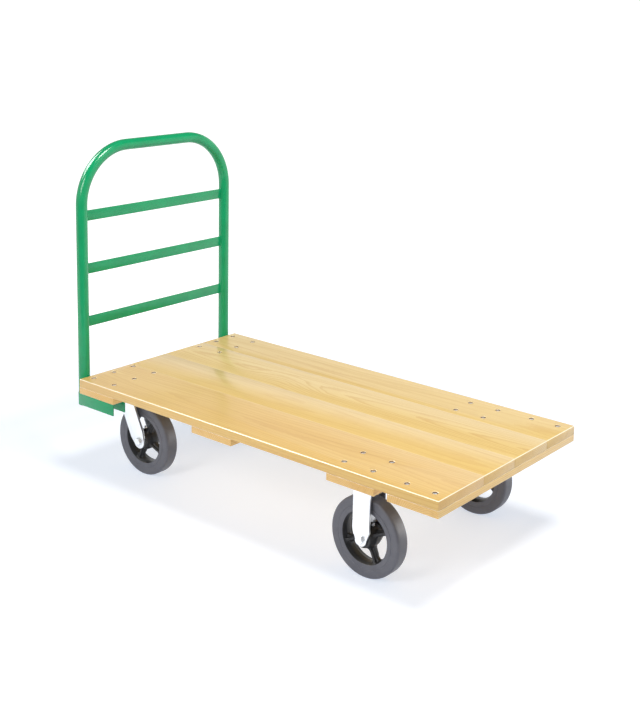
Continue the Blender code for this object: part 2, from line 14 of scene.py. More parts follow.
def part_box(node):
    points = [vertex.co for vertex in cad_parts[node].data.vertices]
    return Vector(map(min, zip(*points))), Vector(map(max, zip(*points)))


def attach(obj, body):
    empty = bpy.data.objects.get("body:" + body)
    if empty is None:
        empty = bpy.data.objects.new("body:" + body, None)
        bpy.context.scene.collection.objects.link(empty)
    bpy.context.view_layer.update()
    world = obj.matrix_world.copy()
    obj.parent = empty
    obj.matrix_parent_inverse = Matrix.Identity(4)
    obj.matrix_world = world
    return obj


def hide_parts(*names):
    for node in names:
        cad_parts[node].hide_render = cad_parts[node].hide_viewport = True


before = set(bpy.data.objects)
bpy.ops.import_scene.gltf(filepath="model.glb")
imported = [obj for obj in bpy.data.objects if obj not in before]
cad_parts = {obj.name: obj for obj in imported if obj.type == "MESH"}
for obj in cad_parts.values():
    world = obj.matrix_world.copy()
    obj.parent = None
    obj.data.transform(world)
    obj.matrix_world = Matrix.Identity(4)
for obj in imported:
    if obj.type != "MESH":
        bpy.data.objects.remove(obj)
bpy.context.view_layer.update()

INCH = 0.0254
MM = 0.001
SIDES = {"right": -1, "left": 1}
CASTERS = [f"{kind}_{side}" for kind in ("swivel", "rigid") for side in SIDES]

# Camera: it stands off the deck's front right corner, a little above the handle
CAMERA_LOCATION = (1.9976, -2.3327, 1.3843)
CAMERA_ROTATION = (79.82, -1.61, 37.52)
CAMERA_LENS = 59.14
CAMERA_SHIFT = (-0.0893, -0.2253)
CAMERA_AZIMUTH = math.radians(CAMERA_ROTATION[2])
TOWARD_CAMERA = Vector((math.sin(CAMERA_AZIMUTH), -math.cos(CAMERA_AZIMUTH), 0))
FLOOR_REACH = 60
FLOOR_FRONT = 1.25

# Boards
OUTER_ROUNDING = 2.6 * MM
JOINT_ROUNDING = 1.0 * MM
RECESS_RADIUS = 0.275 * INCH
RECESS_DEPTH = 0.25 * INCH
RECESS_RIM = 0.4 * MM
SHARP_ANGLE = math.radians(32)
SCREW_FROM_SIDE = 1.25 * INCH
SCREWS_FROM_BATTEN = (1.25 * INCH, 4.3 * INCH)

# Handle
TUBE_RADIUS = 0.625 * INCH
TUBE_WALL = 2.0 * MM
TUBE_SIDES = 48
BEND_RADIUS = 6.25 * INCH
BEND_STEPS = 30
CHANNEL_THICKNESS = 0.125 * INCH
CHANNEL_BEND = 4.5 * MM
BAR_EDGE = 0.8 * MM
BAR_WELD = 1.5 * MM
BAR_WELD_STEP = 1.3 * MM
BRACKET_WELD = 2.0 * MM

# Fasteners
BOLT_RADIUS = 1 / 8 * INCH
BOLT_FLATS = 7 / 16 * INCH
BOLT_HEAD = 11 / 64 * INCH
BOLT_NUT = 7 / 32 * INCH
BOLT_PITCH = 1.27 * MM
AXLE_RADIUS = 0.25 * INCH
AXLE_FLATS = 0.75 * INCH
AXLE_HEAD = 0.3 * INCH
AXLE_PITCH = 1.95 * MM
AXLE_TAIL = 0.11 * INCH
HEX_CHAMFER = math.radians(30)
HEX_CROWN = 0.475
BOLT_TAIL = 0.1 * INCH
SEAT_GAP = 0.3 * MM

# Casters, heights above the floor
AXLE_HEIGHT = 4.0 * INCH
LEG_INSIDE = 1.0625 * INCH + 0.5 * MM
LEG_THICKNESS = 1 / 4 * INCH
PLATE_SIZE = (4.5 * INCH, 4.0 * INCH)
PLATE_CORNER = 0.3 * INCH
PLATE_HOLES = (3.4 * INCH, 2.8 * INCH)
RIGID_AXLE_AHEAD = 0.35 * INCH
RIGID_LEG_HALF = 0.98 * INCH
RIGID_TIP = 0.66 * INCH
RIGID_TAPER = 0.85 * INCH
SWIVEL_TRAIL = 2.3 * INCH
SWIVEL_RAKE = math.radians(26.5)
SWIVEL_LEG_HALF = 1.03 * INCH
SWIVEL_TAPER = 0.8 * INCH
SWIVEL_TIP = 0.8 * INCH
CROWN_REACH = 1.35 * INCH
CROWN_THICKNESS = 0.2 * INCH
PRESSED_EDGE = 0.9 * MM
FRAME_WELD = 2.2 * MM

# Cutters: heights that span the caster plates, and reach of a cutter to each side of its middle
PLATE_DRILL = (0.3, 0.2)
CUTTER_REACH = 0.1
STRAP_REACH = 0.15

# Turns that lay an outline's height along Y, and a section's height along X
HEIGHT_TO_Y = Matrix.Rotation(math.pi / 2, 4, "X")
HEIGHT_TO_X = Matrix.Rotation(math.pi / 2, 4, "Z") @ HEIGHT_TO_Y

# Wheels
WHEEL_RADIUS = 4.0 * INCH
WHEEL_HALF_WIDTH = 0.75 * INCH
SHOULDER_RADIUS = 0.22 * INCH
RIM_RADIUS = 3.12 * INCH
RIM_MOUTH = 2.64 * INCH
HUB_HALF_LENGTH = 1.055 * INCH
HUB_RADIUS = 0.9 * INCH
BEARING_RADIUS = 0.61 * INCH
FITTING_RADIUS = 1.12 * INCH
SPOKES = 4
SPOKE_TURNS = {"rigid_right": 24, "rigid_left": 71, "swivel_right": 65, "swivel_left": 20}
CAST_VOXEL = 1.5 * MM


# ---------------------------------------------------------------- geometry


def mesh_of(bm):
    """Turn a bmesh into a mesh with outward normals."""
    bmesh.ops.recalc_face_normals(bm, faces=bm.faces)
    mesh = bpy.data.meshes.new("made")
    bm.to_mesh(mesh)
    bm.free()
    return mesh


def rounded(corners, steps=6):
    """Outline from corners (x, y, radius), with an arc in place of each corner."""
    outline = []
    for index, (x, y, radius) in enumerate(corners):
        if radius == 0:
            outline.append((x, y))
            continue
        here = Vector((x, y))
        back = (Vector(corners[index - 1][:2]) - here).normalized()
        ahead = (Vector(corners[(index + 1) % len(corners)][:2]) - here).normalized()
        half = back.angle(ahead) / 2
        centre = here + (back + ahead).normalized() * radius / math.sin(half)
        start = here + back * radius / math.tan(half) - centre
        end = here + ahead * radius / math.tan(half) - centre
        first = math.atan2(start.y, start.x)
        turn = math.remainder(math.atan2(end.y, end.x) - first, math.tau)
        for step in range(steps + 1):
            angle = first + turn * step / steps
            outline.append((centre.x + radius * math.cos(angle), centre.y + radius * math.sin(angle)))
    return outline


def prism(outline, low, high, turn=Matrix()):
    """Solid between two heights over a flat outline."""
    bm = bmesh.new()
    bottom = [bm.verts.new((x, y, low)) for x, y in outline]
    top = [bm.verts.new((x, y, high)) for x, y in outline]
    bm.faces.new(bottom)
    bm.faces.new(top)
    for index in range(len(outline)):
        after = (index + 1) % len(outline)
        bm.faces.new((bottom[index], bottom[after], top[after], top[index]))
    mesh = mesh_of(bm)
    mesh.transform(turn)
    return mesh


def lathe(profile, segments, closed=True, turn=Matrix()):
    """Solid turned about Z from (radius, height) points. An open profile starts and ends on the axis."""
    bm = bmesh.new()
    rings = []
    for step in range(segments):
        angle = math.tau * step / segments
        cos, sin = math.cos(angle), math.sin(angle)
        rings.append([bm.verts.new((radius * cos, radius * sin, z)) for radius, z in profile])
    count = len(profile) if closed else len(profile) - 1
    for ring, following in zip(rings, rings[1:] + rings[:1]):
        for index in range(count):
            after = (index + 1) % len(profile)
            bm.faces.new((ring[index], following[index], following[after], ring[after]))
    bmesh.ops.remove_doubles(bm, verts=bm.verts, dist=1e-6)
    mesh = mesh_of(bm)
    mesh.transform(turn)
    return mesh


def rod(radius, high, low, segments, turn=Matrix()):
    """Cylinder on Z between two heights."""
    return lathe([(0, high), (radius, high), (radius, low), (0, low)], segments, closed=False, turn=turn)


def sweep(path, radii, sides, looped=False):
    """Round bar along a path, with a radius for each of its points."""
    bm = bmesh.new()
    rings = []
    count = len(path)
    side = None
    for index, point in enumerate(path):
        after = path[(index + 1) % count] if looped else path[min(index + 1, count - 1)]
        before = path[index - 1] if looped or index else path[0]
        along = (after - before).normalized()
        side = side if side is not None else along.orthogonal()
        side = (side - along * side.dot(along)).normalized()
        up = along.cross(side)
        ring = []
        for step in range(sides):
            angle = math.tau * step / sides
            offset = side * math.cos(angle) + up * math.sin(angle)
            ring.append(bm.verts.new(point + offset * radii[index]))
        rings.append(ring)
    pairs = list(zip(rings, rings[1:] + rings[:1])) if looped else list(zip(rings, rings[1:]))
    for ring, following in pairs:
        for index in range(sides):
            after = (index + 1) % sides
            bm.faces.new((ring[index], ring[after], following[after], following[index]))
    if not looped:
        bm.faces.new(rings[0])
        bm.faces.new(rings[-1])
    return mesh_of(bm)


def softened(mesh, width, segments=2, chosen=None):
    """Round the sharp edges of a mesh, or only those that chosen(edge) picks."""
    bm = bmesh.new()
    bm.from_mesh(mesh)
    edges = [e for e in bm.edges if len(e.link_faces) == 2 and e.calc_face_angle() > SHARP_ANGLE]
    if chosen:
        edges = [e for e in edges if chosen(e)]
    bmesh.ops.bevel(
        bm, geom=edges, offset=width, segments=segments, profile=0.5, affect="EDGES", clamp_overlap=True
    )
    return mesh_of(bm)


def scratch(mesh):
    """Scratch object that holds a mesh while modifiers work on it."""
    made = bpy.data.objects.new("scratch", mesh)
    bpy.context.scene.collection.objects.link(made)
    return made


def evaluated(source, *helpers):
    """Mesh of an object with its modifiers applied. The objects are removed."""
    depsgraph = bpy.context.evaluated_depsgraph_get()
    mesh = bpy.data.meshes.new_from_object(source.evaluated_get(depsgraph))
    for used in (source, *helpers):
        bpy.data.objects.remove(used)
    return mesh


def boolean(base, tools, operation):
    """Join, cut or intersect meshes."""
    body = scratch(base)
    helpers = [scratch(tool) for tool in tools]
    for helper in helpers:
        modifier = body.modifiers.new("boolean", "BOOLEAN")
        modifier.operation = operation
        modifier.solver = "EXACT"
        modifier.object = helper
    return evaluated(body, *helpers)


def joined(meshes):
    """Several meshes as one, without merging them."""
    bm = bmesh.new()
    for mesh in meshes:
        bm.from_mesh(mesh)
    made = bpy.data.meshes.new("joined")
    bm.to_mesh(made)
    bm.free()
    return made


def box(low, high):
    """Block between two corners."""
    low, high = Vector(low), Vector(high)
    bm = bmesh.new()
    place = Matrix.Translation((low + high) / 2) @ Matrix.Diagonal((*(high - low), 1.0))
    bmesh.ops.create_cube(bm, size=1.0, matrix=place)
    return mesh_of(bm)


def piece(name, mesh, material, body, place=Matrix(), stands_for=(), smooth=30):
    """Finished piece that rides on a CAD body and may stand for CAD nodes."""
    made = bpy.data.objects.new(name, mesh)
    bpy.context.scene.collection.objects.link(made)
    if not mesh.materials:
        for used in material if isinstance(material, tuple) else (material,):
            mesh.materials.append(used)
        mesh.shade_smooth()
        mesh.set_sharp_from_angle(angle=math.radians(smooth))
    made.matrix_world = place
    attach(made, body)
    if stands_for:
        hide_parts(*stands_for)
    return made


def centre_of(node):
    """Middle of a CAD node's box."""
    low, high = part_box(node)
    return (low + high) / 2


# ---------------------------------------------------------------- materials


def add(tree, kind, inputs=(), **settings):
    """Shader node with settings, and inputs that are values or other nodes' sockets."""
    made = tree.nodes.new("ShaderNode" + kind)
    for key, value in settings.items():
        setattr(made, key, value)
    for key, value in dict(inputs).items():
        if isinstance(value, bpy.types.NodeSocket):
            tree.links.new(value, made.inputs[key])
        else:
            made.inputs[key].default_value = value
    return made


def new_material(name):
    """Material with its node tree and Principled shader."""
    material = bpy.data.materials.new(name)
    material.use_nodes = True
    tree = material.node_tree
    return material, tree, tree.nodes["Principled BSDF"]


def place_of(tree, scale=(1, 1, 1), location=(0, 0, 0), rotation=(0, 0, 0)):
    """Object coordinates, scaled, turned and shifted."""
    source = add(tree, "TexCoord").outputs["Object"]
    inputs = {"Vector": source, "Scale": scale, "Location": location, "Rotation": rotation}
    return add(tree, "Mapping", inputs).outputs["Vector"]


def noise_of(tree, vector, scale, detail=3.0, roughness=0.5):
    """Noise between 0 and 1."""
    inputs = {"Vector": vector, "Scale": scale, "Detail": detail, "Roughness": roughness}
    return add(tree, "TexNoise", inputs).outputs["Fac"]


def ramp(tree, factor, stops):
    """Colour ramp through (position, colour) stops. A grey may be one number."""
    made = add(tree, "ValToRGB", {"Fac": factor})
    elements = made.color_ramp.elements
    while len(elements) < len(stops):
        elements.new(1.0)
    for element, (position, colour) in zip(elements, stops):
        element.position = position
        element.color = (*((colour,) * 3 if isinstance(colour, (int, float)) else colour), 1.0)
    return made.outputs["Color"]


def spread(tree, value, low, high, from_low=0.0, from_high=1.0):
    """Value brought from one range to another."""
    inputs = {
        "Value": value, "From Min": from_low, "From Max": from_high, "To Min": low, "To Max": high,
    }
    return add(tree, "MapRange", inputs).outputs["Result"]


def calculate(tree, operation, first, second):
    """One step of arithmetic."""
    return add(tree, "Math", {0: first, 1: second}, operation=operation).outputs[0]


def blend(tree, mode, factor, first, second):
    """Two colours mixed."""
    made = add(tree, "Mix", {"Factor": factor}, data_type="RGBA", blend_type=mode)
    for socket, value in ((made.inputs[6], first), (made.inputs[7], second)):
        if isinstance(value, bpy.types.NodeSocket):
            tree.links.new(value, socket)
        else:
            socket.default_value = (*value, 1.0)
    return made.outputs[2]


def bump(tree, shader, height, strength, distance):
    """Relief on the shader's normal."""
    inputs = {"Height": height, "Strength": strength, "Distance": distance}
    tree.links.new(add(tree, "Bump", inputs).outputs["Normal"], shader.inputs["Normal"])


def drawn_out(along, scale, squeeze):
    """Scale of a pattern that is drawn out along the board."""
    return tuple(scale * squeeze if axis == along else scale for axis in "XYZ")


def wood(name, along, pith, tilt, pale, dark, contrast, patch_seed, knot=None):
    """Lacquered softwood: growth rings round a pith line, fibres along the board, soft patches, and a painted
    highlight on the rounded edges.
    """
    material, tree, shader = new_material(name)
    warp_place = place_of(tree, drawn_out(along, 14, 0.09), (patch_seed, patch_seed * 2, 0))
    warp = add(tree, "TexNoise", {"Vector": warp_place, "Scale": 1.0, "Detail": 2.0})
    centred = add(tree, "VectorMath", {0: warp.outputs["Color"], 1: (0.5, 0.5, 0.5)}, operation="SUBTRACT")
    waves = add(tree, "VectorMath", {0: centred.outputs[0], "Scale": 0.022}, operation="SCALE")
    log_place = place_of(tree, location=[-v for v in pith], rotation=tilt)
    if knot:
        log_place = knotted(tree, log_place, knot)
    warped = add(tree, "VectorMath", {0: log_place, 1: waves.outputs[0]}, operation="ADD")
    rings = add(
        tree, "TexWave",
        {"Vector": warped.outputs[0], "Scale": 66.0, "Distortion": 0.9, "Detail": 2.0, "Detail Scale": 1.5},
        wave_type="RINGS", rings_direction=along, wave_profile="SAW",
    ).outputs["Fac"]
    late_wood = ramp(tree, rings, [(0.0, 0.0), (0.55, 0.1), (0.86, 1.0), (0.95, 0.75), (1.0, 0.0)])
    fibres = noise_of(tree, place_of(tree, drawn_out(along, 620, 0.014)), 1.0, 4.0, 0.65)
    patches_place = place_of(tree, drawn_out(along, 9, 0.09), (patch_seed,) * 3)
    patches = noise_of(tree, patches_place, 1.0, 3.0, 0.6)
    tone = blend(tree, "MIX", spread(tree, patches, 0.0, 1.0, 0.3, 0.7), pale, dark)
    figured = blend(
        tree, "MULTIPLY", calculate(tree, "MULTIPLY", late_wood, contrast), tone, (0.86, 0.73, 0.55)
    )
    streaks = noise_of(tree, place_of(tree, drawn_out(along, 70, 0.02)), 1.0, 4.0, 0.6)
    streak_share = spread(tree, streaks, 0.0, 0.55, 0.52, 0.74)
    streaked = blend(tree, "MULTIPLY", streak_share, figured, (0.86, 0.76, 0.58))
    fibre_share = spread(tree, fibres, 0.0, 0.34, 0.42, 0.72)
    grained = blend(tree, "MULTIPLY", fibre_share, streaked, (0.80, 0.68, 0.50))
    flecks = noise_of(tree, place_of(tree, drawn_out(along, 300, 0.05)), 1.0, 2.0, 0.5)
    fleck_share = spread(tree, flecks, 0.0, 0.35, 0.66, 0.74)
    pored = blend(tree, "MULTIPLY", fleck_share, grained, (0.72, 0.55, 0.36))
    normal = add(tree, "NewGeometry").outputs["Normal"]
    split = add(tree, "SeparateXYZ", {"Vector": normal}).outputs
    end_grain = spread(tree, calculate(tree, "ABSOLUTE", split[along], 0.0), 0.0, 0.45, 0.75, 0.95)
    ended = blend(tree, "MULTIPLY", end_grain, pored, (0.86, 0.74, 0.58))
    # Painted highlight: where the normal lies halfway between up and sideways, as on the rounded edges, the
    # colour is blended toward pale cream.
    flatness = calculate(tree, "MULTIPLY", split["Z"], split["Z"])
    painted_edge_highlight = calculate(tree, "MULTIPLY", flatness, calculate(tree, "SUBTRACT", 1.0, flatness))
    colour = blend(tree, "MIX", spread(tree, painted_edge_highlight, 0.0, 0.85, 0.03, 0.22), ended, (1.0, 0.93, 0.72))
    tree.links.new(colour, shader.inputs["Base Color"])
    tree.links.new(spread(tree, fibres, 0.30, 0.46), shader.inputs["Roughness"])
    shader.inputs["Coat Weight"].default_value = 0.35
    shader.inputs["Coat Roughness"].default_value = 0.18
    bump(tree, shader, calculate(tree, "ADD", fibres, late_wood), 0.25, 0.15 * MM)
    return material


def knotted(tree, place, knot):
    """Bend the growth rings round a knot at the given point of the board."""
    centre, reach, push = knot
    source = place_of(tree, (0.35, 1, 1), (-0.35 * centre[0], -centre[1], -centre[2]))
    distance = add(tree, "VectorMath", {0: source}, operation="LENGTH").outputs["Value"]
    swell = spread(tree, distance, push, 0.0, 0.0, reach)
    offset = add(tree, "CombineXYZ", {"X": 0.0, "Y": 0.0, "Z": swell}).outputs[0]
    return add(tree, "VectorMath", {0: place, 1: offset}, operation="ADD").outputs[0]


def enamel():
    """Green gloss enamel with a faint orange peel."""
    material, tree, shader = new_material("green_enamel")
    cloud = noise_of(tree, place_of(tree), 18.0, 3.0, 0.6)
    colour = ramp(tree, cloud, [(0.3, (0.001, 0.248, 0.090)), (0.7, (0.001, 0.292, 0.108))])
    tree.links.new(colour, shader.inputs["Base Color"])
    smear = noise_of(tree, place_of(tree), 60.0, 4.0, 0.6)
    tree.links.new(spread(tree, smear, 0.17, 0.27), shader.inputs["Roughness"])
    shader.inputs["Specular IOR Level"].default_value = 0.35
    shader.inputs["Coat Weight"].default_value = 0.25
    shader.inputs["Coat Roughness"].default_value = 0.06
    bump(tree, shader, noise_of(tree, place_of(tree), 420.0, 1.0, 0.4), 0.08, 0.1 * MM)
    return material


def zinc():
    """Bright zinc plate with cloudy patches and rolling marks along the strip."""
    material, tree, shader = new_material("zinc_plate")
    cloud = noise_of(tree, place_of(tree), 35.0, 5.0, 0.65)
    colour = ramp(tree, cloud, [(0.3, (0.86, 0.88, 0.91)), (0.7, (0.95, 0.96, 0.97))])
    tree.links.new(colour, shader.inputs["Base Color"])
    shader.inputs["Metallic"].default_value = 1.0
    marks = noise_of(tree, place_of(tree, (900, 900, 25)), 1.0, 3.0, 0.6)
    rough = calculate(tree, "ADD", spread(tree, cloud, 0.22, 0.34), spread(tree, marks, 0.0, 0.08))
    tree.links.new(rough, shader.inputs["Roughness"])
    bump(tree, shader, marks, 0.12, 0.05 * MM)
    return material


def cast_iron():
    """Black painted casting with a sandy skin."""
    material, tree, shader = new_material("black_casting")
    grit = noise_of(tree, place_of(tree), 520.0, 4.0, 0.6)
    lumps = noise_of(tree, place_of(tree), 90.0, 3.0, 0.55)
    colour = ramp(tree, grit, [(0.3, (0.008, 0.008, 0.009)), (0.75, (0.030, 0.030, 0.033))])
    tree.links.new(colour, shader.inputs["Base Color"])
    tree.links.new(spread(tree, grit, 0.32, 0.55), shader.inputs["Roughness"])
    bump(tree, shader, calculate(tree, "ADD", grit, lumps), 0.5, 0.5 * MM)
    return material


def rubber():
    """Dark grey moulded rubber with a fine matt bloom."""
    material, tree, shader = new_material("grey_rubber")
    bloom = noise_of(tree, place_of(tree), 24.0, 5.0, 0.62)
    colour = ramp(tree, bloom, [(0.3, (0.080, 0.080, 0.096)), (0.72, (0.112, 0.112, 0.130))])
    tree.links.new(colour, shader.inputs["Base Color"])
    fine = noise_of(tree, place_of(tree), 900.0, 3.0, 0.6)
    rough = calculate(tree, "ADD", spread(tree, bloom, 0.36, 0.5), spread(tree, fine, 0.0, 0.06))
    tree.links.new(rough, shader.inputs["Roughness"])
    bump(tree, shader, fine, 0.15, 0.08 * MM)
    return material


def bearing_steel():
    """Oiled bare steel."""
    material, tree, shader = new_material("bearing_steel")
    film = noise_of(tree, place_of(tree), 140.0, 4.0, 0.6)
    tree.links.new(ramp(tree, film, [(0.3, (0.36, 0.35, 0.34)), (0.7, (0.52, 0.52, 0.53))]),
                   shader.inputs["Base Color"])
    shader.inputs["Metallic"].default_value = 1.0
    tree.links.new(spread(tree, film, 0.18, 0.36), shader.inputs["Roughness"])
    return material


def plank_woods():
    """One wood for each plank: its own heart line, tilt and tone."""
    looks = [
        (0.085, 0.9, (0.719, 0.490, 0.158), (0.640, 0.391, 0.099), 0.50, None),
        (0.140, -0.7, (0.727, 0.517, 0.186), (0.687, 0.462, 0.138), 0.35, None),
        (0.060, 1.3, (0.750, 0.569, 0.237), (0.703, 0.494, 0.166), 0.80, (0.028, 0.055, 0.018)),
        (0.120, 0.5, (0.735, 0.541, 0.213), (0.687, 0.474, 0.154), 0.45, None),
    ]
    woods = {}
    for number, (depth, degrees, pale, dark, contrast, knot) in enumerate(looks, start=1):
        middle = centre_of(f"deck_plank_{number}")
        pith = (0, middle.y, middle.z - depth)
        tilt = (0, math.radians(degrees), math.radians(0.4 * (number - 2)))
        about = None
        if knot:
            knot_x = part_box("deck_plank_3")[0].x + 17 * INCH
            about = ((knot_x, middle.y - knot[0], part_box("deck_plank_3")[1].z), knot[1], knot[2])
        woods[f"deck_plank_{number}"] = wood(
            f"plank_wood_{number}", "X", pith, tilt, pale, dark, contrast, 3.7 * number, about
        )
    return woods


def batten_woods():
    """One wood for each cross batten, whose ends show the growth rings round a heart line of its own."""
    hearts = {
        "batten_handle": (0.030, 0.048), "batten_middle": (0.052, 0.036),
        "batten_caster": (-0.035, 0.042), "batten_front": (0.045, 0.050),
    }
    woods = {}
    for number, (name, (ahead, below)) in enumerate(hearts.items(), start=1):
        middle = centre_of(name)
        pith = (middle.x + ahead, 0, middle.z - below)
        tilt = (math.radians(0.6), 0, 0)
        woods[name] = wood(
            name.replace("batten", "batten_wood"), "Y", pith, tilt,
            (0.80, 0.575, 0.23), (0.74, 0.48, 0.15), 0.9, 5.1 * number,
        )
    return woods


def recess_shade_wood():
    """Wall of a counterbored hole: darker drilled end grain, and painted shade darkening the recess."""
    material, tree, shader = new_material("recess_shade_wood")
    shade_mottle = noise_of(tree, place_of(tree, (600, 600, 90)), 1.0, 3.0, 0.6)
    colour = ramp(tree, shade_mottle, [(0.3, (0.20, 0.11, 0.045)), (0.7, (0.36, 0.21, 0.09))])
    tree.links.new(colour, shader.inputs["Base Color"])
    shader.inputs["Roughness"].default_value = 0.8
    return material


WOODS = plank_woods()
BATTENS = batten_woods()
RECESS_SHADE = recess_shade_wood()
ENAMEL = enamel()
ZINC = zinc()
IRON = cast_iron()
RUBBER = rubber()
STEEL = bearing_steel()


# ---------------------------------------------------------------- deck


def deck_fasteners():
    """Places of the recessed heads on the deck: the CAD's bolts, and the front batten's screws."""
    bolts = [centre_of(node).to_2d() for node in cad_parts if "bolt" in node]
    return bolts + front_screw_places()


def front_screw_places():
    """Places of the four screws in the corners over the front batten."""
    low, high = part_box("batten_front")
    sides = (low.y + SCREW_FROM_SIDE, high.y - SCREW_FROM_SIDE)
    return [Vector((low.x + step, y)) for step in SCREWS_FROM_BATTEN for y in sides]


def recess_tool(place, top):
    """Cutter for one bolt's recess, with a slightly broken rim."""
    clear = 5 * MM
    profile = [
        (0, clear), (RECESS_RADIUS + RECESS_RIM + clear, clear), (RECESS_RADIUS, -RECESS_RIM),
        (RECESS_RADIUS, -RECESS_DEPTH), (0, -RECESS_DEPTH),
    ]
    return lathe(profile, 32, closed=False, turn=Matrix.Translation((place.x, place.y, top)))


def on_deck_rim(edge, deck_low, deck_high):
    """A top edge round the whole deck, not one along a joint or at a corner."""
    first, last = (v.co for v in edge.verts)
    if is_upright(edge) or min(first.z, last.z) < deck_high.z - MM:
        return False
    lengthwise = abs(first.y - last.y) < MM and abs(first.x - last.x) > MM
    return not lengthwise or min(abs(first.y - deck_low.y), abs(first.y - deck_high.y)) < MM


def paint_recess_shade(board, places, top):
    """Give the faces inside the recesses the board's second material, the painted recess shade."""
    for face in board.polygons:
        inside = any((face.center.to_2d() - place).length < RECESS_RADIUS + 0.1 * MM for place in places)
        face.material_index = int(inside and 0.1 * MM < top - face.center.z < RECESS_DEPTH + MM)


def make_planks():
    """Planks with round outer edges, crisp joints and recessed bolt holes."""
    names = [f"deck_plank_{number}" for number in range(1, 5)]
    deck_low, deck_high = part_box(names[0])[0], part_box(names[-1])[1]
    for name in names:
        low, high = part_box(name)
        board = softened(
            box(low, high), OUTER_ROUNDING, 5, chosen=lambda edge: on_deck_rim(edge, deck_low, deck_high)
        )
        board = softened(board, JOINT_ROUNDING, 2)
        places = [place for place in deck_fasteners() if low.y < place.y < high.y]
        board = boolean(board, [recess_tool(place, high.z) for place in places], "DIFFERENCE")
        board.materials.clear()
        # Painted shade: faces inside the bolt recesses take the dark recess material.
        paint_recess_shade(board, places, high.z)
        piece(f"{name}_board", board, (WOODS[name], RECESS_SHADE), "chassis", stands_for=[name])


def is_upright(edge):
    """An edge that runs up and down."""
    return abs(edge.verts[0].co.z - edge.verts[1].co.z) > 5 * MM


def make_battens():
    """Cross battens with lightly eased edges."""
    for name in ("handle", "middle", "caster", "front"):
        node = f"batten_{name}"
        board = softened(box(*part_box(node)), 0.6 * MM, 3)
        piece(f"{node}_board", board, BATTENS[node], "chassis", stands_for=[node])


# ---------------------------------------------------------------- fasteners


def hex_block(flats, height, low=0.0):
    """Hexagon with its upper corners turned down."""
    corner = flats / math.sqrt(3)
    outline = [(corner * math.cos(math.tau * k / 6), corner * math.sin(math.tau * k / 6)) for k in range(6)]
    crown = flats * HEX_CROWN
    wide = corner * 1.05
    drop = (wide - crown) * math.tan(HEX_CHAMFER)
    profile = [(0, height), (crown, height), (wide, height - drop), (wide, -MM), (0, -MM)]
    block = boolean(prism(outline, 0, height), [lathe(profile, 48, closed=False)], "INTERSECT")
    block.transform(Matrix.Translation((0, 0, low)))
    return block


def hanging_nut(flats, height, top):
    """Nut below a height, with its turned corners downward."""
    nut = hex_block(flats, height)
    nut.transform(Matrix.Translation((0, 0, top)) @ Matrix.Rotation(math.pi, 4, "X"))
    return nut


def threaded(radius, pitch, low, high):
    """Threaded rod between two heights, with a cone at its lower end."""
    turns = int((high - low) / pitch)
    depth = pitch * 0.55
    profile = [(0, low), (radius - depth * 1.6, low), (radius - depth, low + pitch / 2)]
    for turn in range(1, turns):
        profile += [(radius, low + pitch * turn), (radius - depth, low + pitch * (turn + 0.5))]
    profile += [(radius, high), (0, high)]
    return lathe(profile, 24, closed=False)


def fastener(grip):
    """Bolt and nut that clamp a grip below Z 0, as one mesh."""
    head_low = SEAT_GAP + 0.5 * MM
    nut_low = -grip - SEAT_GAP - BOLT_NUT
    end = nut_low - BOLT_TAIL + SEAT_GAP
    washer = rod(BOLT_FLATS * 0.47, SEAT_GAP + 0.6 * MM, SEAT_GAP, 48)
    head = hex_block(BOLT_FLATS, BOLT_HEAD - head_low, head_low)
    nut = hanging_nut(BOLT_FLATS, BOLT_NUT, -grip - SEAT_GAP)
    shank = rod(BOLT_RADIUS, SEAT_GAP + MM, nut_low + MM, 24)
    thread = threaded(BOLT_RADIUS, BOLT_PITCH, end, nut_low + 2 * MM)
    return joined([washer, head, nut, shank, thread])


def make_bolts():
    """Bolts of the brackets and the caster plates."""
    meshes = {}
    for node in sorted(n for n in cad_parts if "bolt" in n):
        low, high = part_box(node)
        seat = high.z - BOLT_HEAD
        grip = seat - low.z - BOLT_NUT - BOLT_TAIL
        key = round(grip, 4)
        if key not in meshes:
            meshes[key] = fastener(grip)
        turn = random.Random(node).uniform(0, math.tau)
        centre = centre_of(node)
        place = Matrix.Translation((centre.x, centre.y, seat)) @ Matrix.Rotation(turn, 4, "Z")
        piece(f"{node}_set", meshes[key], ZINC, "chassis", place, stands_for=[node])


def make_front_screws():
    """Lag screws in the deck over the front batten."""
    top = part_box("deck_plank_1")[1].z
    length = 1.2 * INCH
    shank = threaded(BOLT_RADIUS, 2.2 * MM, -length, 0.5 * MM)
    flange = lathe([(0, MM), (6.4 * MM, 0.6 * MM), (6.4 * MM, 0), (0, 0)], 32, closed=False)
    mesh = joined([hex_block(BOLT_FLATS * 0.85, BOLT_HEAD), flange, shank])
    for number, place in enumerate(front_screw_places(), start=1):
        turn = Matrix.Rotation(0.7 * number, 4, "Z")
        matrix = Matrix.Translation((place.x, place.y, top - RECESS_DEPTH + 0.2 * MM)) @ turn
        piece(f"front_screw_{number}", mesh, ZINC, "chassis", matrix)


# ---------------------------------------------------------------- handle


def handle_route():
    """Centreline of the tube, from the right foot to the left one."""
    low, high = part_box("handle_tube")
    x = (low.x + high.x) / 2
    leg = high.y - TUBE_RADIUS
    top = high.z - TUBE_RADIUS
    route = [Vector((x, -leg, low.z + (top - BEND_RADIUS - low.z) * k / 12)) for k in range(12)]
    for step in range(BEND_STEPS + 1):
        angle = math.pi / 2 * step / BEND_STEPS
        y = -leg + BEND_RADIUS * (1 - math.cos(angle))
        z = top - BEND_RADIUS * (1 - math.sin(angle))
        route.append(Vector((x, y, z)))
    route += [Vector((x, -p.y, p.z)) for p in reversed(route)]
    return route


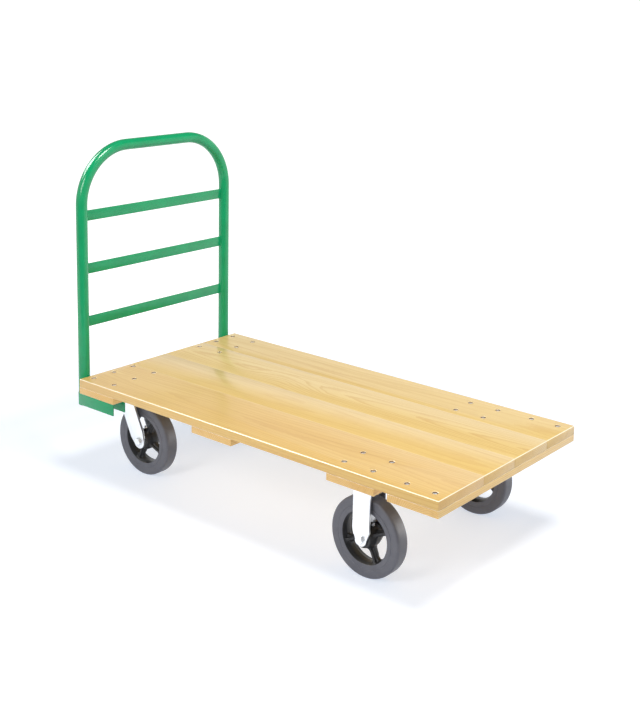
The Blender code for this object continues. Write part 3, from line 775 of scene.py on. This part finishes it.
def make_tube():
    """Bent tube with an open bore at both feet."""
    route = handle_route()
    outer = sweep(route, [TUBE_RADIUS] * len(route), TUBE_SIDES)
    longer = [route[0] - Vector((0, 0, MM)), *route[1:-1], route[-1] - Vector((0, 0, MM))]
    inner = sweep(longer, [TUBE_RADIUS - TUBE_WALL] * len(longer), TUBE_SIDES)
    for mesh in (outer, inner):
        mesh.validate()
    tube = boolean(outer, [inner], "DIFFERENCE")
    piece("handle_tube_bent", tube, ENAMEL, "chassis", stands_for=["handle_tube"], smooth=40)


def bead(path, radius, seed, looped=False):
    """Weld bead along a path, rippled as the pool froze."""
    draw = random.Random(seed)
    radii = []
    for index in range(len(path)):
        ripple = 1 + 0.10 * math.sin(index * 1.9) + draw.uniform(-0.05, 0.05)
        edge = 1.0 if looped else min(1.0, 0.45 + 0.35 * min(index, len(path) - 1 - index))
        radii.append(radius * ripple * edge)
    return sweep(path, radii, 10, looped)


def make_bars():
    """Flat bars with rolled edges, and the weld round each end."""
    tube_low, tube_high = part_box("handle_tube")
    leg = tube_high.y - TUBE_RADIUS
    x = (tube_low.x + tube_high.x) / 2
    for name in ("low", "middle", "top"):
        node = f"handle_bar_{name}"
        low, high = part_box(node)
        bar = softened(box(low, high), BAR_EDGE, 3)
        piece(f"{node}_flat", bar, ENAMEL, "chassis", stands_for=[node])
        for side, sign in SIDES.items():
            half = (high.x - low.x) / 2 + 0.4 * MM
            outline = rounded([
                (-half, low.z, BAR_WELD), (half, low.z, BAR_WELD),
                (half, high.z, BAR_WELD), (-half, high.z, BAR_WELD),
            ], 3)
            path = []
            for (x0, z0), (x1, z1) in zip(outline, outline[1:] + outline[:1]):
                parts = max(1, round(math.hypot(x1 - x0, z1 - z0) / BAR_WELD_STEP))
                for part in range(parts):
                    px = x0 + (x1 - x0) * part / parts
                    pz = z0 + (z1 - z0) * part / parts
                    py = sign * (leg - math.sqrt(TUBE_RADIUS**2 - px**2))
                    path.append(Vector((x + px, py, pz)))
            weld = bead(path, BAR_WELD, f"{name}{side}", looped=True)
            piece(f"{node}_weld_{side}", weld, ENAMEL, "chassis", smooth=60)


def make_brackets():
    """Bent channels under the handle batten, coped round the tube's foot and welded to it."""
    tube_low, tube_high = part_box("handle_tube")
    tube_x = (tube_low.x + tube_high.x) / 2
    for side, sign in SIDES.items():
        node = f"handle_bracket_{side}"
        low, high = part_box(node)
        middle = (low.y + high.y) / 2
        outer = (high.y - low.y) / 2
        inner = outer - CHANNEL_THICKNESS
        drop = high.z - low.z
        corners = [
            (-outer, 0, CHANNEL_BEND), (-outer, -drop, 0), (-inner, -drop, 0),
            (-inner, -CHANNEL_THICKNESS, CHANNEL_BEND - CHANNEL_THICKNESS + MM),
            (inner, -CHANNEL_THICKNESS, CHANNEL_BEND - CHANNEL_THICKNESS + MM),
            (inner, -drop, 0), (outer, -drop, 0), (outer, 0, CHANNEL_BEND),
        ]
        channel = prism(rounded(corners), 0, high.x - low.x, HEIGHT_TO_X)
        channel.transform(Matrix.Translation((low.x, middle, high.z)))
        at_foot = Matrix.Translation((tube_x, middle, high.z))
        cope = rod(TUBE_RADIUS + 0.3 * MM, CUTTER_REACH, -CUTTER_REACH, 64, at_foot)
        channel = softened(boolean(channel, [cope], "DIFFERENCE"), 0.5 * MM, 2)
        piece(f"{node}_channel", channel, ENAMEL, "chassis", stands_for=[node])
        for flank in (-1, 1):
            y = middle + flank * (TUBE_RADIUS + 0.6 * MM)
            steps = 20
            path = [
                Vector((tube_x + 1.2 * MM, y, low.z + 2 * MM + (drop - 5 * MM) * k / steps))
                for k in range(steps + 1)
            ]
            weld = bead(path, BRACKET_WELD, f"{side}{flank}")
            piece(f"{node}_weld_{'in' if flank * sign < 0 else 'out'}", weld, ENAMEL,
                  "chassis", smooth=60)


# ---------------------------------------------------------------- casters


def plate_mesh(thickness_low, thickness_high):
    """Caster plate with round corners and pressed edges, about its own centre."""
    x, y = PLATE_SIZE[0] / 2, PLATE_SIZE[1] / 2
    corners = [(-x, -y, PLATE_CORNER), (x, -y, PLATE_CORNER), (x, y, PLATE_CORNER), (-x, y, PLATE_CORNER)]
    plate = prism(rounded(corners, 8), thickness_low, thickness_high)
    plate = softened(plate, PRESSED_EDGE, 3)
    holes = []
    for sx in (-1, 1):
        for sy in (-1, 1):
            place = Matrix.Translation((sx * PLATE_HOLES[0] / 2, sy * PLATE_HOLES[1] / 2, 0))
            holes.append(rod(BOLT_RADIUS + 0.5 * MM, *PLATE_DRILL, 24, place))
    return boolean(plate, holes, "DIFFERENCE")


def strap_mesh(crown_low, crown_high, bend, side_outline):
    """Bent strap: two legs and a crown, trimmed to a side view."""
    outside = LEG_INSIDE + LEG_THICKNESS
    inner_bend = max(bend - LEG_THICKNESS, 1.5 * MM)
    corners = [
        (-outside, 0, 0), (-LEG_INSIDE, 0, 0), (-LEG_INSIDE, crown_low, inner_bend),
        (LEG_INSIDE, crown_low, inner_bend), (LEG_INSIDE, 0, 0), (outside, 0, 0),
        (outside, crown_high, bend), (-outside, crown_high, bend),
    ]
    strap = prism(rounded(corners, 8), -STRAP_REACH, STRAP_REACH, HEIGHT_TO_X)
    side_view = prism(side_outline, -CUTTER_REACH, CUTTER_REACH, HEIGHT_TO_Y)
    strap = boolean(strap, [side_view], "INTERSECT")
    return softened(strap, PRESSED_EDGE, 3)


def arc_points(centre, radius, start, end, steps=16):
    """Points along an arc."""
    points = []
    for step in range(steps + 1):
        angle = start + (end - start) * step / steps
        points.append((centre[0] + radius * math.cos(angle), centre[1] + radius * math.sin(angle)))
    return points


def rigid_side_view(top):
    """Side view of a rigid leg: straight, then tapering to its round tip."""
    back, front = RIGID_AXLE_AHEAD - RIGID_LEG_HALF, RIGID_AXLE_AHEAD + RIGID_LEG_HALF
    shoulder = AXLE_HEIGHT + RIGID_TAPER
    tip = arc_points((RIGID_AXLE_AHEAD, AXLE_HEIGHT), RIGID_TIP, math.pi, math.tau)
    return [(front, shoulder), (front, top), (back, top), (back, shoulder), *tip]


def swivel_side_view(crown_low, top):
    """Side view of the fork: crown, fillets and a raked leg with its round tip."""
    up = Vector((-math.sin(SWIVEL_RAKE), math.cos(SWIVEL_RAKE)))
    across = Vector((math.cos(SWIVEL_RAKE), math.sin(SWIVEL_RAKE)))
    axle = Vector((SWIVEL_TRAIL, AXLE_HEIGHT))
    taper = axle + up * SWIVEL_TAPER
    front = taper + across * SWIVEL_LEG_HALF
    back = taper - across * SWIVEL_LEG_HALF
    crown_edge = crown_low - 1.2 * MM
    front_top = front + up * ((crown_edge - front.y) / up.y)
    back_top = back + up * ((crown_edge - back.y) / up.y)
    crown = rounded([
        (front.x, front.y, 0), (front_top.x, crown_edge, 2 * MM), (CROWN_REACH, crown_edge, 2 * MM),
        (CROWN_REACH, top, 0), (-CROWN_REACH, top, 0), (-CROWN_REACH, crown_edge, 2 * MM),
        (back_top.x, crown_edge, 4 * MM), (back.x, back.y, 0),
    ])
    tip = arc_points(axle, SWIVEL_TIP, math.pi + SWIVEL_RAKE, math.tau + SWIVEL_RAKE)
    return [*crown, *tip]


def axle_hole(x):
    """Cutter for the axle hole through both legs."""
    turn = Matrix.Translation((x, 0, AXLE_HEIGHT)) @ HEIGHT_TO_Y
    return rod(AXLE_RADIUS + 0.2 * MM, CUTTER_REACH, -CUTTER_REACH, 32, turn)


def rigid_frame_mesh(plate_low, plate_high):
    """Plate, strap and the welds between them."""
    crown_low = plate_low - LEG_THICKNESS
    strap = strap_mesh(crown_low, plate_low + 0.2 * MM, 9 * MM, rigid_side_view(plate_high))
    strap = boolean(strap, [axle_hole(RIGID_AXLE_AHEAD)], "DIFFERENCE")
    body = boolean(plate_mesh(plate_low, plate_high), [strap], "UNION")
    beads = []
    for side, sign in SIDES.items():
        y = sign * (LEG_INSIDE + LEG_THICKNESS - 3.2 * MM)
        steps = 24
        reach = RIGID_LEG_HALF - 3 * MM
        start = RIGID_AXLE_AHEAD - reach
        path = [Vector((start + 2 * reach * k / steps, y, plate_low - 1.2 * MM)) for k in range(steps + 1)]
        beads.append(bead(path, FRAME_WELD, f"frame{side}"))
    return joined([body, *beads])


def fork_mesh(crown_low, crown_high):
    """Crown and raked legs in one bent strap, with the kingpin's hole."""
    strap = strap_mesh(crown_low, crown_high, 8 * MM, swivel_side_view(crown_low, crown_high + MM))
    pin = rod(AXLE_RADIUS + 0.2 * MM, *PLATE_DRILL, 32)
    return boolean(strap, [pin, axle_hole(SWIVEL_TRAIL)], "DIFFERENCE")


def race_mesh(low, high):
    """Two pressed cups with a ring of balls between them."""
    middle = (low + high) / 2
    ball = 2.3 * MM
    pitch = 1.16 * INCH
    inner = 0.55 * INCH
    upper = lathe(rounded([
        (inner, middle + ball * 0.7, MM), (pitch - 2 * ball, middle + ball * 0.7, MM),
        (pitch, middle + ball * 1.15, MM), (pitch + 2 * ball, middle + 0.2 * ball, MM),
        (pitch + 2.3 * ball, high - MM, MM), (pitch + ball, high, 0), (inner, high, 0),
    ], 3), 64)
    lower = lathe(rounded([
        (inner, low, 0), (pitch + 0.8 * ball, low, MM), (pitch + 1.5 * ball, middle - 0.5 * ball, MM),
        (pitch, middle - ball * 1.15, MM), (pitch - 2 * ball, middle - ball * 0.7, MM),
        (inner, middle - ball * 0.7, MM),
    ], 3), 64)
    balls = []
    count = 38
    for number in range(count):
        bm = bmesh.new()
        angle = math.tau * number / count
        place = Matrix.Translation((pitch * math.cos(angle), pitch * math.sin(angle), middle))
        bmesh.ops.create_icosphere(bm, subdivisions=2, radius=ball, matrix=place)
        balls.append(mesh_of(bm))
    return joined([upper, lower, *balls])


def kingpin_mesh(low, high, crown_low):
    """Vertical pin of the swivel: flat head above, nut and thread below."""
    head = 0.45 * INCH
    head_low = high - 2 * MM
    profile = [(0, high), (head - MM, high), (head, high - MM), (head, head_low), (0, head_low)]
    top = lathe(profile, 48, closed=False)
    shank = rod(AXLE_RADIUS, head_low + MM, crown_low - 2 * MM, 32)
    nut = hanging_nut(AXLE_FLATS, AXLE_HEAD, crown_low - SEAT_GAP)
    thread = threaded(AXLE_RADIUS, AXLE_PITCH, low, crown_low - MM)
    return joined([top, shank, nut, thread])


def make_caster_frames():
    """Rigid frames, and the swivels' plates, races, kingpins and forks."""
    plate_low, plate_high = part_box("swivel_right_plate")[0].z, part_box("swivel_right_plate")[1].z
    fork_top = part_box("swivel_right_fork")[1].z
    crown_low = fork_top - CROWN_THICKNESS
    rigid = rigid_frame_mesh(plate_low, plate_high)
    plate = plate_mesh(plate_low, plate_high)
    fork = fork_mesh(crown_low, fork_top)
    race_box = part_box("swivel_right_race")
    race = race_mesh(race_box[0].z, race_box[1].z)
    pin_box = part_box("swivel_right_kingpin")
    pin = kingpin_mesh(pin_box[0].z, pin_box[1].z, crown_low)
    for side in SIDES:
        middle = centre_of(f"rigid_{side}_frame")
        place = Matrix.Translation((middle.x, middle.y, 0))
        piece(f"rigid_{side}_frame_pressed", rigid, ZINC, "chassis", place,
              stands_for=[f"rigid_{side}_frame"])
        middle = centre_of(f"swivel_{side}_plate")
        place = Matrix.Translation((middle.x, middle.y, 0))
        for part, mesh, body in (
            ("plate", plate, "chassis"), ("race", race, "chassis"), ("kingpin", pin, "chassis"),
            ("fork", fork, f"swivel_{side}"),
        ):
            node = f"swivel_{side}_{part}"
            piece(f"{node}_made", mesh, ZINC, body, place, stands_for=[node])


# ---------------------------------------------------------------- wheels


def tyre_mesh():
    """Rubber tyre with a faintly crowned tread, round shoulders and a groove in each side."""
    w = WHEEL_HALF_WIDTH
    r = WHEEL_RADIUS
    flank = [
        (RIM_MOUTH, 0.972 * w, 0), (RIM_MOUTH + 0.2 * MM, 0.988 * w, 0), (RIM_MOUTH + 1.0 * MM, 0.994 * w, 0),
        (3.08 * INCH, 0.994 * w, 0.4 * MM), (3.11 * INCH, 0.955 * w, 0.3 * MM),
        (3.15 * INCH, 0.955 * w, 0.3 * MM), (3.18 * INCH, 0.985 * w, 0.4 * MM),
        (3.6 * INCH, w, 1 * MM), (r - 0.15 * MM, w, SHOULDER_RADIUS),
    ]
    crown = [(r, 0.35 * w, 0), (r, -0.35 * w, 0)]
    mirrored = [(radius, -z, corner) for radius, z, corner in reversed(flank)]
    bed = [(RIM_RADIUS + 0.2 * MM, -0.972 * w, 0), (RIM_RADIUS + 0.2 * MM, 0.972 * w, 0)]
    return lathe(rounded([*flank, *crown, *mirrored, *bed], 4), 128)


def spoke_mesh():
    """One spoke along X: a flared arm with a deeper rib down its middle."""
    inner, outer = 0.72 * INCH, 2.85 * INCH
    arm = rounded([
        (inner, -0.50 * INCH, 0), (1.25 * INCH, -0.30 * INCH, 6 * MM), (2.15 * INCH, -0.29 * INCH, 8 * MM),
        (outer, -0.62 * INCH, 0), (outer, 0.62 * INCH, 0), (2.15 * INCH, 0.29 * INCH, 8 * MM),
        (1.25 * INCH, 0.30 * INCH, 6 * MM), (inner, 0.50 * INCH, 0),
    ])
    flat = prism(arm, -0.20 * INCH, 0.20 * INCH)
    rib_side = [
        (inner, -0.8 * INCH), (1.3 * INCH, -0.48 * INCH), (2.2 * INCH, -0.4 * INCH), (outer, -0.58 * INCH),
        (outer, 0.58 * INCH), (2.2 * INCH, 0.4 * INCH), (1.3 * INCH, 0.48 * INCH), (inner, 0.8 * INCH),
    ]
    rib = prism(rib_side, -0.13 * INCH, 0.13 * INCH, HEIGHT_TO_Y)
    return [flat, rib]


def core_mesh():
    """Cast core: rim, hub and spokes flowed together."""
    half = 0.955 * WHEEL_HALF_WIDTH
    rim = lathe(rounded([
        (RIM_RADIUS, half, MM), (RIM_RADIUS, -half, MM), (RIM_MOUTH + MM, -half, 2 * MM),
        (2.5 * INCH, -0.3 * half, 4 * MM), (2.5 * INCH, 0.3 * half, 4 * MM), (RIM_MOUTH + MM, half, 2 * MM),
    ], 4), 96)
    hub = lathe(rounded([
        (HUB_RADIUS, HUB_HALF_LENGTH, 2 * MM), (1.15 * INCH, 0.35 * INCH, 8 * MM),
        (1.15 * INCH, -0.35 * INCH, 8 * MM), (HUB_RADIUS, -HUB_HALF_LENGTH, 2 * MM),
        (BEARING_RADIUS, -HUB_HALF_LENGTH, 0), (BEARING_RADIUS, HUB_HALF_LENGTH, 0),
    ], 4), 64)
    parts = [rim, hub]
    for number in range(SPOKES):
        turn = Matrix.Rotation(math.tau * number / SPOKES, 4, "Z")
        for part in spoke_mesh():
            part.transform(turn)
            parts.append(part)
    casting = scratch(joined(parts))
    remesh = casting.modifiers.new("flow", "REMESH")
    remesh.mode = "VOXEL"
    remesh.voxel_size = CAST_VOXEL
    smooth = casting.modifiers.new("fillets", "SMOOTH")
    smooth.factor = 0.6
    smooth.iterations = 4
    return evaluated(casting)


def fitting_mesh():
    """Grease fitting: hex base, neck and ball head, pointing along +Z."""
    base = hex_block(7 * MM, 3.2 * MM)
    stem = lathe(rounded([
        (0, 3 * MM, 0), (2.6 * MM, 3 * MM, 0), (1.9 * MM, 5 * MM, 0.5 * MM), (2.6 * MM, 6.6 * MM, 0.8 * MM),
        (1.8 * MM, 8.0 * MM, 0.5 * MM), (0, 8.2 * MM, 0),
    ], 3), 24, closed=False)
    return joined([base, stem])


def axle_mesh():
    """Axle bolt on Z with its head at +Z and its nut at -Z."""
    face = LEG_INSIDE + LEG_THICKNESS
    in_nut = -face - AXLE_HEAD / 2
    head = hex_block(AXLE_FLATS, AXLE_HEAD, face + SEAT_GAP)
    nut = hanging_nut(AXLE_FLATS, AXLE_HEAD, -face - SEAT_GAP)
    shank = rod(AXLE_RADIUS, face + 2 * SEAT_GAP, in_nut, 32)
    thread = threaded(AXLE_RADIUS, AXLE_PITCH, -face - AXLE_HEAD - AXLE_TAIL, in_nut + MM)
    return joined([head, nut, shank, thread])


def make_wheels():
    """Tyre, core, grease fitting, axle and bearing of each caster."""
    tyre, core, fitting, axle = tyre_mesh(), core_mesh(), fitting_mesh(), axle_mesh()
    out = Matrix.Rotation(math.pi / SPOKES, 4, "Z") @ Matrix.Rotation(math.pi / 2, 4, "Y")
    for name in CASTERS:
        sign = SIDES[name.split("_")[1]]
        node = f"{name}_tyre"
        wheel = f"wheel_{name}"
        place = Matrix.Translation(centre_of(node))
        turn = place @ Matrix.Rotation(-math.radians(SPOKE_TURNS[name]), 4, "Y") @ HEIGHT_TO_Y
        ring = piece(f"{node}_rubber", tyre, RUBBER, wheel, place @ HEIGHT_TO_Y, stands_for=[node])
        bpy.data.collections["tyres"].objects.link(ring)
        node = f"{name}_core"
        piece(f"{node}_cast", core, IRON, wheel, turn, stands_for=[node], smooth=60)
        at_hub = turn @ out @ Matrix.Translation((0, 0, FITTING_RADIUS))
        piece(f"{name}_grease_fitting", fitting, ZINC, wheel, at_hub)
        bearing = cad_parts[f"{name}_bearing"].data.materials
        bearing.clear()
        bearing.append(STEEL)
        head_out = place @ Matrix.Rotation(-sign * math.pi / 2, 4, "X")
        body = "chassis" if name.startswith("rigid") else name
        piece(f"{name}_axle_bolt", axle, ZINC, body, head_out, stands_for=[f"{name}_axle"])


# ---------------------------------------------------------------- studio


def make_floor():
    """White sweep that ends in front of the trolley. It glows, so that only a faint shadow lies on it; near
    the trolley the glow is dimmer and bluer as painted shade.
    """
    bm = bmesh.new()
    bmesh.ops.create_grid(bm, x_segments=1, y_segments=1, size=FLOOR_REACH)
    mesh = mesh_of(bm)
    away = Matrix.Translation((0, FLOOR_REACH - FLOOR_FRONT, -0.2 * MM))
    mesh.transform(Matrix.Rotation(CAMERA_AZIMUTH, 4, "Z") @ away)
    floor = bpy.data.objects.new("floor", mesh)
    bpy.context.scene.collection.objects.link(floor)
    material, tree, shader = new_material("white_sweep")
    # Painted shade: the glow is dimmer and bluer within 1.1 m of the origin under the trolley, rising to full
    # white by 2 m.
    distance = add(tree, "VectorMath", {0: place_of(tree)}, operation="LENGTH").outputs["Value"]
    glow_with_painted_shade = ramp(tree, spread(tree, distance, 0.0, 1.0, 1.1, 2.0), [(0.0, (0.53, 0.575, 0.655)), (1.0, 1.05)])
    tree.links.new(glow_with_painted_shade, shader.inputs["Emission Color"])
    shader.inputs["Emission Strength"].default_value = 1.0
    shader.inputs["Base Color"].default_value = (0.53, 0.53, 0.53, 1)
    shader.inputs["Roughness"].default_value = 0.9
    shader.inputs["Specular IOR Level"].default_value = 0.0
    floor.data.materials.append(material)


def make_light(name, azimuth, elevation, distance, size, power, gloss_only=False):
    """Square softbox aimed at the deck, placed by angles: azimuth 0 is the -Y side, 90 the +X side."""
    data = bpy.data.lights.new(name, "AREA")
    data.size = size
    data.energy = power
    made = bpy.data.objects.new(name, data)
    bpy.context.scene.collection.objects.link(made)
    a, e = math.radians(azimuth), math.radians(elevation)
    back = Vector((math.sin(a) * math.cos(e), -math.cos(a) * math.cos(e), math.sin(e)))
    made.location = Vector((0, 0, 0.35)) + back * distance
    made.rotation_mode = "QUATERNION"
    made.rotation_quaternion = (-back).to_track_quat("-Z", "Y")
    made.visible_camera = False
    made.visible_diffuse = not gloss_only
    return made


def make_world():
    """Surroundings: white round the horizon, greyer overhead, below and on the side the camera stands on."""
    world = bpy.data.worlds.new("studio")
    bpy.context.scene.world = world
    world.use_nodes = True
    tree = world.node_tree
    direction = add(tree, "TexCoord").outputs["Generated"]
    height = add(tree, "SeparateXYZ", {"Vector": direction}).outputs["Z"]
    toward = (*(0.95 * TOWARD_CAMERA.xy), 0.3)
    facing = add(tree, "VectorMath", {0: direction, 1: toward}, operation="DOT_PRODUCT").outputs["Value"]
    sky = spread(tree, height, 1.08, 0.20, 0.3, 0.55)
    ground = spread(tree, height, 0.5, 1.0, -0.1, -0.03)
    far_side = spread(tree, facing, 0.5, 1.0, 0.92, 0.35)
    strength = calculate(tree, "MULTIPLY", calculate(tree, "MULTIPLY", sky, ground), far_side)
    background = tree.nodes["Background"]
    background.inputs["Color"].default_value = (1, 1, 1, 1)
    tree.links.new(strength, background.inputs["Strength"])


def make_camera():
    """Camera off the front right corner."""
    data = bpy.data.cameras.new("camera")
    data.lens = CAMERA_LENS
    data.sensor_width = 36
    data.shift_x, data.shift_y = CAMERA_SHIFT
    data.clip_end = 200
    camera = bpy.data.objects.new("camera", data)
    bpy.context.scene.collection.objects.link(camera)
    camera.location = CAMERA_LOCATION
    camera.rotation_euler = [math.radians(angle) for angle in CAMERA_ROTATION]
    bpy.context.scene.camera = camera


make_camera()
make_floor()
make_world()
make_light("overhead", 80, 70, 3.2, 1.0, 88)
make_light("key", 2, 30, 3.4, 1.2, 44)
make_light("side", 105, 35, 3.6, 1.4, 8)
make_light("edge", -58, 47, 3.2, 1.6, 150, gloss_only=True)
rim = make_light("rim", 141, 6, 3.2, 1.6, 70, gloss_only=True)
rim.light_linking.receiver_collection = bpy.data.collections.new("tyres")
bpy.context.scene.view_settings.view_transform = "Standard"

make_planks()
make_battens()
make_bolts()
make_front_screws()
make_tube()
make_bars()
make_brackets()
make_caster_frames()
make_wheels()
